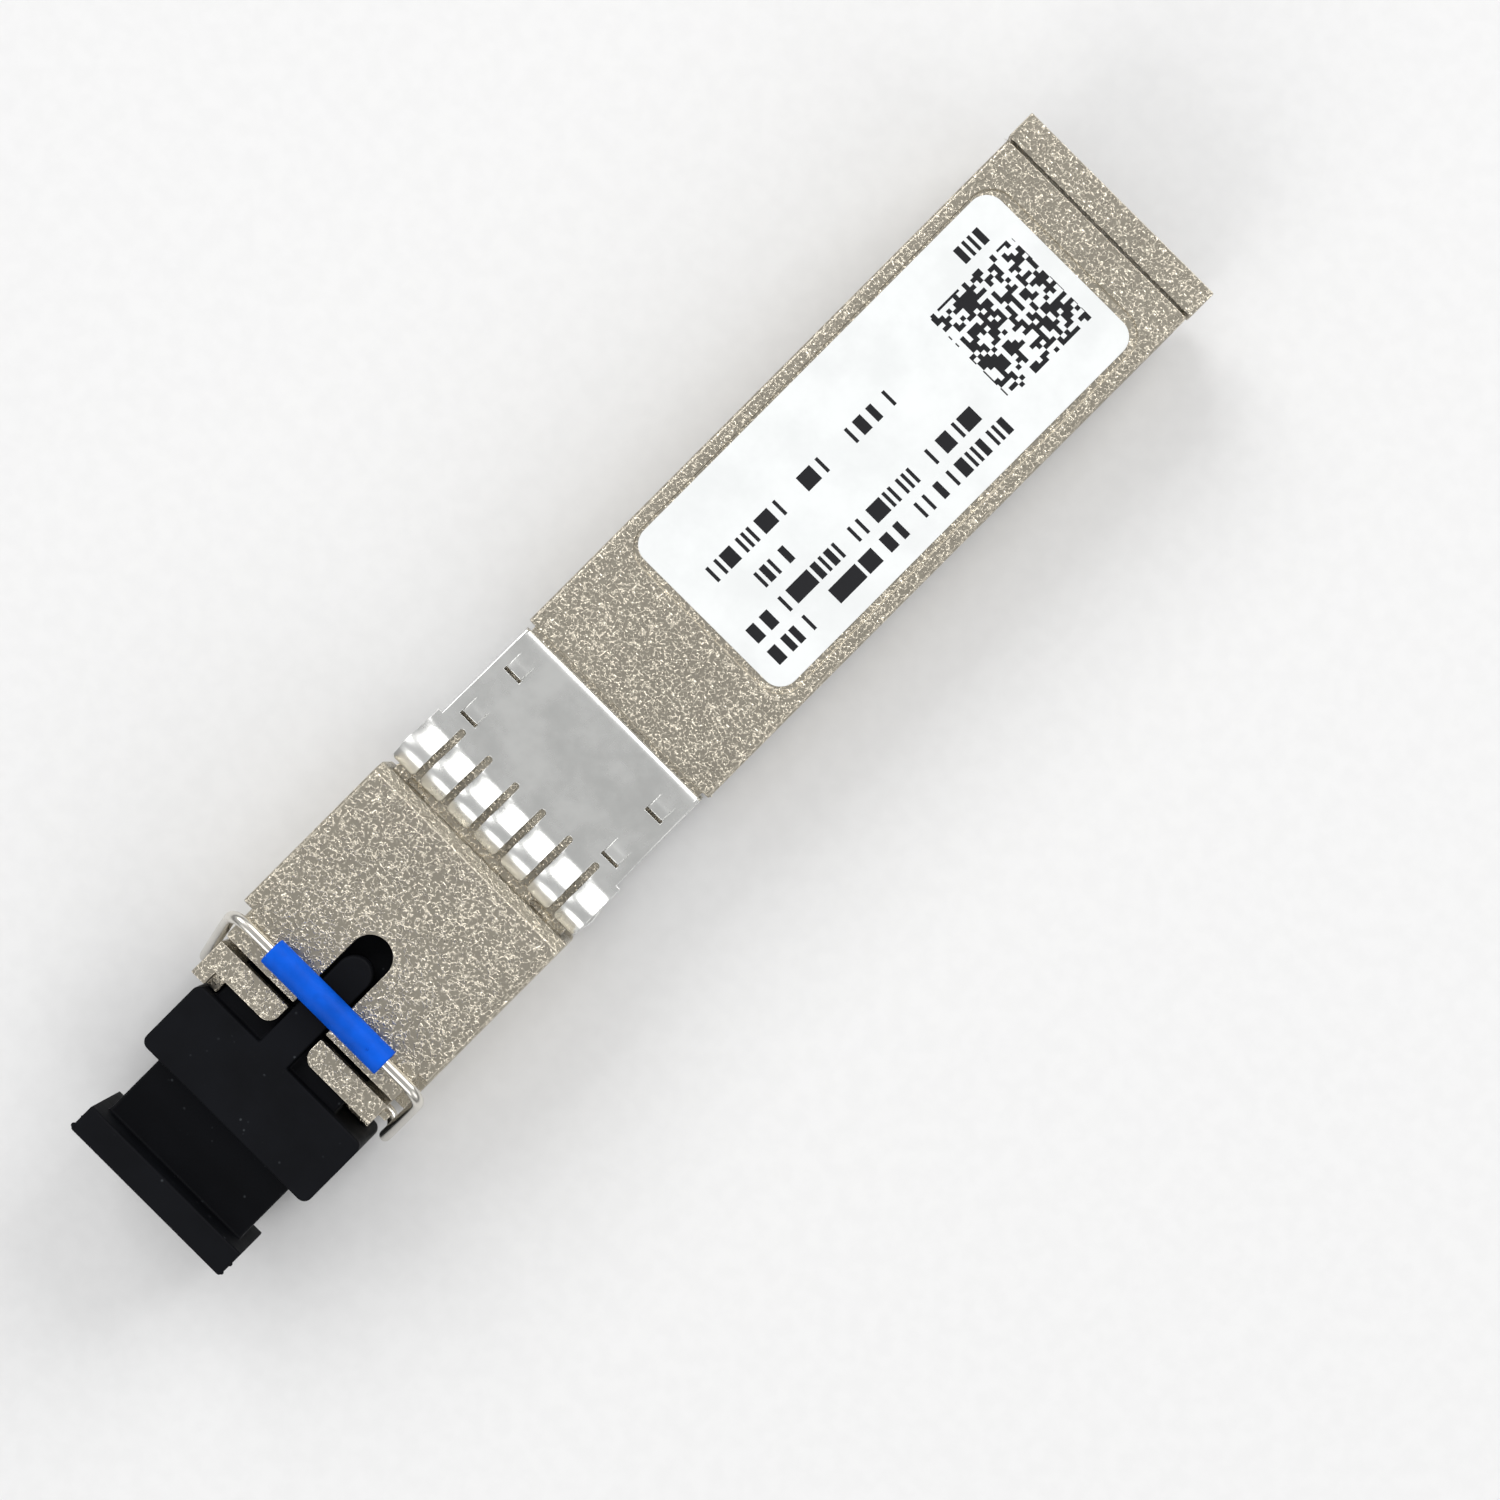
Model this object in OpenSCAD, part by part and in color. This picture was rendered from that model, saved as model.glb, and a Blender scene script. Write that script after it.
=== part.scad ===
// Pluggable optical transceiver module with one square optical port.
// +Y runs from the port at the front to the card edge at the rear, +Z is the label side.
// The origin is under the middle of the module, on the plane of the screwed cover.

/* [Housing] */
// Width of the rear body that slides into the cage
body_w = 13.4; // [13.2:0.1:13.6]
// Width of the thicker nose at the front
nose_w = 13.7; // [13.6:0.1:14.0]
// Top of the rear body above the cover plane
body_top = 9.3; // [9.2:0.1:9.4]
// Top of the nose above the cover plane
nose_top = 10.6; // [10.5:0.1:10.8]
// Y of the port's front edge
front_y = -26.5; // [-26.6:0.1:-26.4]
// Y of the rear end of the side walls
rear_y = 36.8; // [36.6:0.1:36.97]

/* [Optical port] */
// Width of the square port
port_w = 9.0; // [8.9:0.1:9.1]
// Lowest and highest point of the port
port_z = [2.3, 9.7];
// Width of the key slot in the port's roof
key_w = 2.4; // [2.2:0.1:2.6]

/* [Cover and screws] */
// Thickness of the screwed cover plate
cover_t = 0.8; // [0.7:0.05:0.8]
// Radius of a screw head
head_r = 1.05; // [0.9:0.05:1.2]

/* [Spring collar] */
// Sheet thickness of the spring collar
sheet = 0.2; // [0.15:0.05:0.2]
// Number of contact fingers on the top
fingers = 7; // [5:1:7]

/* [Circuit board] */
// Thickness of the circuit board
board_t = 1.0; // [0.8:0.1:1.0]
// Width of the card edge
card_w = 9.2; // [9.0:0.1:9.4]
// Spacing of the card-edge contacts
pitch = 0.8; // [0.75:0.05:0.8]

/* [Bail] */
// Diameter of the bail wire
wire_d = 0.7; // [0.6:0.05:0.7]
// Distance of each bail arm from the middle
arm_x = 6.95; // [6.95:0.05:7.1]
// Sideways play taken up by the bail
bail_dx = 0.25; // [0.25:0.05:0.3]
// Outer diameter of the coloured sleeve
sleeve_d = 1.6; // [1.5:0.1:1.6]

/* [Dust plug] */
// Sideways offset of the plug's grip from its key
grip_dx = 0.65; // [0:0.05:0.65]
// Width of the plug's block
block_w = 12.2; // [11.5:0.1:12.2]

/* [Hidden] */
$fn = 48;
eps = 0.01;

split_z = 5.4;        // level of the joint between the shells
floor_z = cover_t;    // outside face of the bottom shell
inner_floor = 2.0;    // inside face of the bottom shell
inner_top = 8.2;      // inside face of the top shell
cavity_hw = 5.5;      // half-width of the space inside
slim_hw = 6.15;       // half-width where the bail arms lie
recess_hw = 6.25;     // half-width under the spring collar
panel_hw = 4.7;       // half-width of the flat panel under the collar
slim_end = -21.9;     // rear end of the recesses for the bail arms
frame_end = -24.2;    // rear end of the front frame
shell_start = -23.86; // front end of the top shell
nose_end = -12.19;    // rear end of the nose
recess_start = -11.58;
recess_end = -0.87;
recess_top = 8.85;    // floor of the collar's recess on the top
well_y = 25.5;        // front edge of the well under the card edge
well_hw = 6.1;
lip_y = [35.2, 36.97];
lip_z = 7.7;
port_back = -12.5;    // rear wall of the port
bulkhead = -11.5;     // front of the space inside
port_mid = (port_z[0] + port_z[1]) / 2;
key_end = -18.13;
ear_x = 5.2;          // inner edge of the ear beside the port's upper edge
board_z = 4.4;        // underside of the board
board_top = board_z + board_t;
board_y = [1.5, 33.6];
pin_pos = [-4.6, 6.14];
screw_x = 5.0;
screw_y = [-22.5, -16.24];
head_clear = 0.25;    // ring of space round a screw head
clip_hw = recess_hw + 0.05 + sheet;
clip_bottom = 1.1;
clip_top = recess_top + 0.05;
clip_y = [-7.7, -1.2];
finger_w = 1.6;
finger_step = 2.0;
finger_tip = -11.08;
pierced_y = [-6.9, -3.6];    // front edges of the pierced tabs
slit = 0.15;                 // depth of the opening in front of a pierced tab
flange_slots = [-5.8, -3.3]; // middles of the slots in the bottom flanges
axis_y = -25.65;      // bail pivot
axis_z = 1.7;
bar_y = -22.6;        // crossbar of the bail
bar_z = nose_top + sleeve_d / 2 + 0.05;
slot_hw = 2.45;       // half-width of the window in the cover
boss_y = [-8.93, -7.1];
mask_end = 30.2;      // rear end of the board's green mask
plug_block = [-31.04, -26.63];
plug_top = 10.5;
zinc = [0.66, 0.63, 0.56];

module box(x, y, z) translate([x[0], y[0], z[0]]) cube([x[1] - x[0], y[1] - y[0], z[1] - z[0]]);
module mid_box(hw, y, z) box([-hw, hw], y, z);
// Outline in Y and Z, extruded from x[0] to x[1]
module yz(x, points) translate([x[0], 0, 0]) rotate([90, 0, 90]) linear_extrude(x[1] - x[0]) polygon(points);
module rounded(x, y, z, r) translate([0, 0, z[0]]) linear_extrude(z[1] - z[0]) {
    square_x = [x[0] + r, x[1] - r];
    square_y = [y[0] + r, y[1] - r];
    translate([square_x[0], y[0]]) square([square_x[1] - square_x[0], y[1] - y[0]]);
    translate([x[0], square_y[0]]) square([x[1] - x[0], square_y[1] - square_y[0]]);
    for (cx = square_x) for (cy = square_y) translate([cx, cy]) circle(r);
}
module along_y(r, y, at)
    translate([at[0], y[0], at[1]]) rotate([-90, 0, 0]) cylinder(h = y[1] - y[0], r = r);
module along_z(r, z, at) translate([at[0], at[1], z[0]]) cylinder(h = z[1] - z[0], r = r);
module both_sides() for (s = [0, 1]) mirror([s, 0, 0]) children();

module bottom_shell() color(zinc) difference() {
    union() {
        mid_box(slim_hw, [front_y, frame_end], [floor_z, nose_top]);
        mid_box(slim_hw, [frame_end, slim_end], [floor_z, split_z]);
        mid_box(nose_w / 2, [slim_end, nose_end], [floor_z, split_z]);
        mid_box(recess_hw, [nose_end, recess_end], [clip_bottom + sheet + 0.05, split_z]);
        mid_box(panel_hw, [nose_end, recess_end], [floor_z, split_z]);
        mid_box(body_w / 2, [recess_end, rear_y], [floor_z, split_z]);
        mid_box(body_w / 2, [lip_y[0], rear_y], [split_z, body_top]);
        mid_box(body_w / 2 + 0.1, lip_y, [lip_z, body_top]);
        // Stub beside the right arm of the bail
        box([slim_hw - 0.1, 6.65], [front_y + 1.5, front_y + 1.9], [8.4, 9.8]);
        yz([-0.72, 0.72], [[boss_y[0], floor_z], [boss_y[0], 0.15], [-7.97, 0.15], [boss_y[1], floor_z]]);
    }
    mid_box(port_w / 2, [front_y - 1, port_back], port_z);
    mid_box(key_w / 2, [front_y - 1, frame_end + 1], [port_z[1] - 1, nose_top + 1]);
    // The tabs above the port stand back; only the left one keeps an ear at its outer end
    box([-ear_x, slim_hw + 1], [front_y - 1, front_y + 0.86], [port_z[1] - eps, nose_top + 1]);
    box([port_w / 2, slim_hw + 1], [front_y - 1, front_y + 0.86], [6, nose_top + 1]);
    // Rounded corners of the front tabs beside the key slot
    both_sides() difference() {
        box([key_w / 2 - eps, 1.9], [front_y, front_y + 1.56], [port_z[1], nose_top + 1]);
        along_z(0.7, [port_z[1] - 1, nose_top + 2], [1.9, front_y + 1.56]);
    }
    // Pocket for the cranked middle of the bail, and the groove for its pivot
    mid_box(slot_hw, [-26.25, -24.0], [floor_z - 1, axis_z + 0.42]);
    mid_box(slim_hw + 1, [axis_y - 0.4, axis_y + 0.4], [floor_z - 1, axis_z]);
    translate([-slim_hw - 1, axis_y, axis_z]) rotate([0, 90, 0]) cylinder(h = 2 * slim_hw + 2, r = 0.4);
    both_sides() for (y = screw_y) along_z(0.46, [0, 3.6], [screw_x, y]);
    along_y(2.2, [port_back - 1, bulkhead + 1], [0, port_mid]);
    mid_box(cavity_hw, [bulkhead, well_y - 1.2], [inner_floor, split_z + 1]);
    // Well round the card edge, with its sloped front face
    difference() {
        mid_box(well_hw, [well_y - 1.3, rear_y + 1], [floor_z - 1, lip_z]);
        yz([-well_hw - 1, well_hw + 1], [[well_y - 2, 0], [well_y, 0], [well_y, floor_z],
            [well_y + 1, board_z - 0.05], [well_y - 2, board_z - 0.05]]);
        both_sides() box([4.65, well_hw + 1], [well_y, 27.9], [2.6, board_z - 0.05]);
    }
    // Rounded lower corners of the side walls at the rear
    difference() {
        mid_box(body_w, [rear_y - 1.5, rear_y + 1], [floor_z - 1, floor_z + 1.5]);
        translate([-body_w, rear_y - 1.5, floor_z + 1.5])
            rotate([0, 90, 0]) cylinder(h = 2 * body_w, r = 1.5);
    }
    along_z(1.0, [floor_z - 1, floor_z + 0.12], pin_pos);
    along_z(0.9, [floor_z, floor_z + 0.4], pin_pos);
    along_z(0.67, [floor_z, inner_floor + 1], pin_pos);
}

module top_shell() color(zinc) difference() {
    union() {
        mid_box(slim_hw, [shell_start, slim_end], [split_z, nose_top]);
        mid_box(nose_w / 2, [slim_end, nose_end], [split_z, nose_top]);
        yz([-nose_w / 2, nose_w / 2], [[nose_end - 1, split_z], [nose_end - 1, nose_top],
            [nose_end, nose_top], [recess_start, nose_top - 0.7], [recess_start, split_z]]);
        mid_box(recess_hw, [recess_start - 1, recess_end + 1], [split_z, recess_top]);
        mid_box(body_w / 2, [recess_end, 35.04], [split_z, body_top]);
    }
    mid_box(port_w / 2, [shell_start - 1, port_back], port_z);
    mid_box(key_w / 2, [shell_start - 1, key_end - key_w / 2], [port_z[1] - 1, nose_top + 1]);
    along_z(key_w / 2, [port_z[1] - 1, nose_top + 1], [0, key_end - key_w / 2]);
    along_y(2.2, [port_back - 1, bulkhead + 1], [0, port_mid]);
    difference() {
        mid_box(cavity_hw, [bulkhead, well_y + 1], [split_z - 1, inner_top]);
        along_z(1.3, [inner_top - 1.2, body_top], pin_pos);
    }
    along_z(0.7, [split_z, inner_top - 0.2], pin_pos);
    difference() {
        mid_box(well_hw, [well_y, lip_y[0] + 1], [split_z - 1, lip_z]);
        both_sides() along_z(1.3, [lip_z - 0.25, body_top], [3.5, 32.9]);
    }
    rounded([-5.9, 5.9], [5.29, 33.0], [body_top - 0.15, body_top + 1], 1.5);
    // Pockets behind the collar's pierced tabs
    both_sides() for (y = pierced_y)
        box([4.65, 5.9], [y - 0.1, y + 0.25], [recess_top - 0.6, recess_top + 1]);
    // Shallow pockets in front of the outer fingers, and the seam along the joint
    both_sides() rounded([3.9, 5.3], [-11.56, -11.2], [recess_top - 0.3, recess_top + 1], 0.17);
    both_sides() box([body_w / 2 - 0.08, body_w], [recess_end - 0.1, 36], [split_z - 1, split_z + 0.12]);
    both_sides()
        box([nose_w / 2 - 0.08, nose_w], [slim_end - 0.1, recess_start + 1], [split_z - 1, split_z + 0.12]);
}

module cover_plate() color(zinc) difference() {
    rounded([-6.9, 6.9], [-26.78, -11.71], [0, cover_t], 0.3);
    both_sides() box([5.6, 8], [-28, -25.15], [-1, 2]);
    mid_box(slot_hw, [-26.25, -24.6], [-1, 2]);
    mid_box(0.78, [-25, -24.25], [-1, 2]);
    // Sunk outline behind the window
    translate([0, 0, -1]) linear_extrude(1.06)
        polygon([[-slot_hw, -24.7], [-slot_hw, -23.9], [-1.1, -21.93], [1.1, -21.93], [slot_hw, -23.9],
            [slot_hw, -24.7]]);
    // Guideway for the release slider
    mid_box(3.3, [-25.6, -11], [0.27, 2]);
    both_sides() for (y = screw_y) {
        along_z(head_r + head_clear, [-1, 0.1], [screw_x, y]);
        along_z(head_r + 0.05, [-1, 0.62], [screw_x, y]);
        along_z(0.5, [-1, 2], [screw_x, y]);
    }
}

module cover_screws() color([0.62, 0.6, 0.55]) both_sides() for (y = screw_y) difference() {
    union() {
        along_z(head_r, [0.04, 0.62], [screw_x, y]);
        along_z(0.45, [0.6, 3.4], [screw_x, y]);
    }
    for (turn = [20, 110])
        translate([screw_x, y, 0]) rotate(turn) mid_box(0.62, [-0.15, 0.15], [-1, 0.4]);
}

// A sprung finger's rise above its sheet: a smooth slope to a crest, then down to its tip
finger_root = clip_y[0] + 0.1;
function ease(t) = let (c = min(max(t, 0), 1)) c * c * (3 - 2 * c);
function rise(y, crest) = crest * (ease((-8.1 - y) / 1.75) - 0.72 * ease((-10.05 - y) / 1.25));
finger_steps = 14;
finger_ys = [for (i = [0 : finger_steps]) finger_root + (finger_tip - finger_root) * i / finger_steps];
function finger_outline(crest) = concat([for (y = finger_ys) [y, rise(y, crest)]],
    [for (i = [finger_steps : -1 : 0]) [finger_ys[i], rise(finger_ys[i], crest) + sheet]]);
module finger(w) intersection() {
    rotate([90, 0, 90]) translate([0, 0, -w / 2]) linear_extrude(w) polygon(finger_outline(0.85));
    rounded([-w / 2, w / 2], [finger_tip, finger_root + 1], [-1, 2], 0.25);
}
module side_finger(z0, z1, x) translate([x, 0, z0]) linear_extrude(z1 - z0)
    polygon([for (p = finger_outline(0.45)) [p[1], p[0]]]);
module emi_clip() color([0.78, 0.78, 0.77]) {
    difference() {
        union() {
            // Top sheet, with its rear edge bent down
            translate([0, 0, clip_top]) yz([-clip_hw, clip_hw], [[clip_y[0], 0], [clip_y[1], 0],
                [clip_y[1], 0.03], [clip_y[1] - 0.12, 0.11], [clip_y[1] - 0.3, 0.18],
                [clip_y[1] - 0.5, sheet], [clip_y[0], sheet]]);
            for (i = [0 : fingers - 1])
                translate([(i - (fingers - 1) / 2) * finger_step, 0, clip_top]) finger(finger_w);
            both_sides()
                box([clip_hw - sheet, clip_hw], clip_y + [0.3, -0.1], [clip_bottom, clip_top + sheet]);
            both_sides() for (z = [1.9, 4.3, 6.7]) side_finger(z, z + 1.9, clip_hw - sheet);
            both_sides() box([5.1, clip_hw], clip_y + [0.4, 0], [clip_bottom, clip_bottom + sheet]);
            both_sides() box([5.6, clip_hw], [-10.84, clip_y[0] + 0.5], [clip_bottom, clip_bottom + sheet]);
            // Raised lips of the four pierced tabs
            both_sides() for (y = pierced_y) translate([0, y, clip_top + sheet])
                yz([4.75, 5.8], [[slit, 0], [slit, 0.22], [0.7, 0.2], [1.2, 0]]);
            // Raised rims of the slots in the bottom flanges
            both_sides() for (y = flange_slots)
                rounded([5.25, 5.9], [y - 0.8, y + 0.8], [clip_bottom - 0.08, clip_bottom + 0.05], 0.32);
        }
        both_sides() for (y = pierced_y)
            box([4.7, 5.85], [y - 0.06, y + slit], [clip_top - 1, clip_top + 1]);
        both_sides() for (y = flange_slots)
            rounded([5.4, 5.75], [y - 0.62, y + 0.62], [0, clip_bottom + 1], 0.17);
        // Round ends of the slots between the fingers
        for (i = [0 : fingers - 2]) translate([(i - (fingers - 2) / 2) * finger_step, clip_y[0] + 0.05, 0])
            along_z(0.2, [clip_top - 1, clip_top + 1], [0, 0]);
    }
}

module label() color([0.93, 0.94, 0.92])
    rounded([-5.75, 5.55], [5.69, 32.5], [body_top - 0.15, body_top - 0.03], 1.1);

module circuit_board() color([0.1, 0.4, 0.22]) difference() {
    translate([0, 0, board_z]) linear_extrude(board_t) polygon([[-5.3, board_y[0]], [5.3, board_y[0]],
        [5.3, 24], [card_w / 2, 24.4], [card_w / 2, board_y[1] - 0.5], [card_w / 2 - 0.5, board_y[1]],
        [0.5 - card_w / 2, board_y[1]], [-card_w / 2, board_y[1] - 0.5], [-card_w / 2, 24.4], [-5.3, 24]]);
    for (z = [board_z, board_top])
        translate([0, board_y[1], z]) rotate([45, 0, 0]) cube([20, 0.35, 0.35], center = true);
    along_z(0.8, [0, 8], pin_pos);
}

// Card-edge contacts: the outer ones mate first and reach further back
module contact_row(z) for (i = [0 : 9]) {
    x = (i - 4.5) * pitch;
    long = i == 0 || i > 7;
    box([x - 0.3, x + 0.3], [mask_end, long ? 33.3 : 32.6], [z, z + 0.03]);
}
module contacts_bottom() color([0.9, 0.72, 0.32]) contact_row(board_z - 0.03);
module contacts_top() color([0.9, 0.72, 0.32]) contact_row(board_top);
module laser_driver() color([0.12, 0.12, 0.13]) mid_box(2.5, [6.4, 11.4], [board_top, board_top + 0.9]);
module controller_chip() color([0.12, 0.12, 0.13]) box([-3.5, 2.5], [14, 20], [board_top, board_top + 0.9]);
module amplifier_chip() color([0.12, 0.12, 0.13])
    box([-4.6, -1.6], [11.9, 13.5], [board_top, board_top + 0.8]);
module chip_capacitors() color([0.62, 0.5, 0.36]) {
    for (i = [0 : 7]) box([-4.9, -3.9], [14.5 + i * 1.1, 15.0 + i * 1.1], [board_top, board_top + 0.5]);
    for (i = [0 : 5]) box([0.2 + i * 0.8, 0.7 + i * 0.8], [12.2, 13.2], [board_top, board_top + 0.5]);
    for (i = [0 : 4]) box([-2.9 + i * 1.2, -1.9 + i * 1.2], [21.2, 21.7], [board_z - 0.5, board_z]);
}
module power_inductors() color([0.3, 0.3, 0.32])
    for (y = [15, 18.4]) box([3.1, 5.1], [y, y + 2], [board_top, board_top + 1.2]);
module crystal() color([0.75, 0.74, 0.7]) box([-1.6, 1.6], [21.4, 23.9], [board_top, board_top + 0.8]);
module thermal_pad() color([0.72, 0.76, 0.8]) mid_box(2.3, [6.6, 11.2], [board_top + 0.9, inner_top]);

module optical_body() color([0.7, 0.68, 0.62]) difference() {
    union() {
        mid_box(2.9, [-11.4, -4.6], [port_mid - 2.9, inner_top - 0.1]);
        along_y(2.1, [port_back, -11.3], [0, port_mid]);
    }
    along_y(0.9, [-20, 0], [0, port_mid]);
}
module ferrule_barrel() color([0.72, 0.7, 0.66]) difference() {
    union() {
        along_y(1.68, [-20.5, -14.4], [0, port_mid]);
        along_y(2.1, [-14.5, port_back], [0, port_mid]);
    }
    along_y(1.52, [-21, -14.6], [0, port_mid]);
    along_y(1.25, [-21, -12], [0, port_mid]);
}
module ferrule_sleeve() color([0.95, 0.95, 0.92]) difference() {
    along_y(1.52, [-20.3, -14.6], [0, port_mid]);
    along_y(1.25, [-21, -14], [0, port_mid]);
    box([-0.1, 0.1], [-21, -14], [port_mid, port_mid + 2]);
}
module fibre_stub() color([0.97, 0.97, 0.95]) along_y(1.25, [-16.4, port_back], [0, port_mid]);
module laser_can() color([0.8, 0.66, 0.36]) {
    along_y(1.9, [-4.6, -2.9], [0, port_mid]);
    along_y(2.15, [-2.9, -2.2], [0, port_mid]);
    for (x = [-0.6, 0.6]) for (z = [-0.6, 0.6]) along_y(0.15, [-2.2, -1.4], [x, port_mid + z]);
}
module detector_can() color([0.8, 0.66, 0.36]) translate([0, -8, port_mid]) rotate([0, -90, 0]) {
    translate([0, 0, 2.9]) cylinder(h = 1.2, r = 1.7);
    translate([0, 0, 4.1]) cylinder(h = 0.6, r = 1.95);
    translate([0, 0, 4.7]) cylinder(h = 0.4, r = 0.15);
}
module laser_flex() color([0.78, 0.5, 0.16]) difference() {
    yz([-1.3, 1.3], [[-2.0, 7.6], [-1.85, 7.6], [-1.85, 5.0], [1.2, 5.55], [3.6, 5.55],
        [3.6, board_top], [1.3, board_top], [-2.0, 4.8]]);
    for (x = [-0.6, 0.6]) for (z = [-0.6, 0.6]) along_y(0.17, [-3, 0], [x, port_mid + z]);
}
module detector_flex() color([0.78, 0.5, 0.16]) {
    box([-5.3, -5.12], [-9.6, 4.2], [board_top + 0.02, 7.4]);
    box([-5.3, -3.4], [2.8, 4.2], [board_top, board_top + 0.15]);
}
// Retainer inside the port with the two hooks that hold a connector
module port_insert() color([0.14, 0.14, 0.15]) difference() {
    union() {
        mid_box(4.45, [-14.4, port_back], [port_z[0] + 0.05, port_z[1] - 0.05]);
        both_sides() box([3.35, 4.1], [-21.5, -14.3], [port_mid - 1.3, port_mid + 1.3]);
        both_sides() translate([0, 0, port_mid - 1.3]) linear_extrude(2.6)
            polygon([[3.4, -21.5], [3.1, -21.1], [3.1, -20.6], [3.4, -20.5]]);
    }
    along_y(2.12, [-15, -12], [0, port_mid]);
}
module locating_pin() color([0.7, 0.68, 0.62]) along_z(0.65, [floor_z + 0.05, inner_top - 0.3], pin_pos);

module release_slider() color([0.72, 0.71, 0.68]) {
    z = [0.32, 0.74];
    mid_box(0.7, [axis_y + 0.33, -24], z);
    difference() {
        mid_box(3.2, [-24.9, -13.6], z);
        along_z(6, [0, 1], [0, -30.35]);
    }
    both_sides() box([1.38, 2.58], [-13.7, -10.9], z);
}

// Bail wire: rings of points swept along a route that is mirrored about the middle
wire_r = wire_d / 2;
function arc3(a, b, c, n) =
    [for (i = [0 : n]) let (t = i / n) (1 - t) * (1 - t) * a + 2 * t * (1 - t) * b + t * t * c];
knee = [arm_x, -26.72, 2.9];
corner = [arm_x, bar_y, bar_z];
arm_dir = (knee - corner) / norm(knee - corner);
half_route = concat([[0, bar_y, bar_z]], arc3(corner - [1.2, 0, 0], corner, corner + 1.2 * arm_dir, 6),
    arc3(knee - 0.9 * arm_dir, knee, [arm_x, -26.6, 2.05], 4),
    arc3([arm_x, -26.4, 1.85], [arm_x, axis_y - 0.2, axis_z], [arm_x - 0.75, axis_y, axis_z], 5),
    arc3([3.1, axis_y, axis_z], [2.45, axis_y, axis_z], [2.1, axis_y - 0.02, 1.2], 4),
    arc3([1.95, axis_y - 0.03, 0.95], [1.75, axis_y - 0.05, 0.5], [0.9, axis_y - 0.06, 0.5], 4));
function flip(p) = [-p[0], p[1], p[2]];
function shifted(p) = abs(p[0]) > 4 ? p + [bail_dx, 0, 0] : p;
last = len(half_route) - 1;
route = [for (p = concat([for (i = [last : -1 : 1]) flip(half_route[i])], half_route)) shifted(p)];
sides = 12;
function tangent(i) =
    let (a = route[max(i - 1, 0)], b = route[min(i + 1, len(route) - 1)]) (b - a) / norm(b - a);
function ring(i) = let (t = tangent(i), u = cross(t, [0, 0.9, -0.43]), n = u / norm(u), b = cross(t, n))
    [for (k = [0 : sides - 1]) route[i] + wire_r * (cos(360 * k / sides) * n + sin(360 * k / sides) * b)];
module swept() {
    count = len(route);
    rings = [for (i = [0 : count - 1]) each ring(i)];
    walls = [for (i = [0 : count - 2]) for (k = [0 : sides - 1]) let (next = (k + 1) % sides)
        [i * sides + k, i * sides + next, (i + 1) * sides + next, (i + 1) * sides + k]];
    start = [[for (k = [sides - 1 : -1 : 0]) k]];
    end = [[for (k = [0 : sides - 1]) (count - 1) * sides + k]];
    polyhedron(rings, concat(walls, start, end));
}
module bail_wire() color([0.8, 0.8, 0.79]) swept();
module bail_sleeve() color([0.05, 0.33, 0.85])
    translate([-3.9, bar_y, bar_z]) rotate([0, 90, 0]) difference() {
        cylinder(h = 8.4, r = sleeve_d / 2);
        translate([0, 0, -1]) cylinder(h = 12, r = wire_r + 0.02);
    }

module dust_plug() color([0.07, 0.07, 0.08]) {
    rounded([grip_dx - block_w / 2, grip_dx + block_w / 2], plug_block, [1.4, plug_top], 0.5);
    box([grip_dx - 4.9, grip_dx + 4.9], [-35.4, plug_block[0] + 0.1], [4.4, 7.6]);
    box([grip_dx - 5.55, grip_dx + 5.55], [-36.97, -35.3], [1.9, 10.0]);
    mid_box(4.4, [plug_block[1] - 0.1, frame_end], [port_z[0] + 0.25, port_z[1] - 0.1]);
    mid_box(0.9, [plug_block[1] - 0.1, frame_end], [port_z[0] + 0.1, port_z[0] + 0.3]);
    mid_box(1.0, [plug_block[1] - 0.1, -20.6], [port_z[1] - 0.3, plug_top]);
    along_z(1.0, [port_z[1] - 0.3, plug_top], [0, -20.6]);
    difference() {
        union() {
            translate([0, 0, 3.25]) linear_extrude(5.5) polygon([[-2.3, frame_end - 0.1], [-2.3, -19.7],
                [-3.0, -17.9], [-2.9, -17.2], [2.9, -17.2], [3.0, -17.9], [2.3, -19.7],
                [2.3, frame_end - 0.1]]);
            mid_box(1.0, [frame_end - 0.1, -20.6], [8.7, plug_top - 0.5]);
        }
        along_y(1.8, [-20.8, -17], [0, port_mid]);
    }
}

bottom_shell();
top_shell();
cover_plate();
cover_screws();
emi_clip();
label();
circuit_board();
contacts_bottom();
contacts_top();
laser_driver();
controller_chip();
amplifier_chip();
chip_capacitors();
power_inductors();
crystal();
thermal_pad();
optical_body();
ferrule_barrel();
ferrule_sleeve();
fibre_stub();
laser_can();
detector_can();
laser_flex();
detector_flex();
port_insert();
locating_pin();
release_slider();
bail_wire();
bail_sleeve();
dust_plug();
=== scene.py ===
"""Looks of a pluggable optical transceiver module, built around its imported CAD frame."""

import logging
import math
from dataclasses import dataclass
from enum import Enum
from typing import Callable, Sequence

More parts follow.
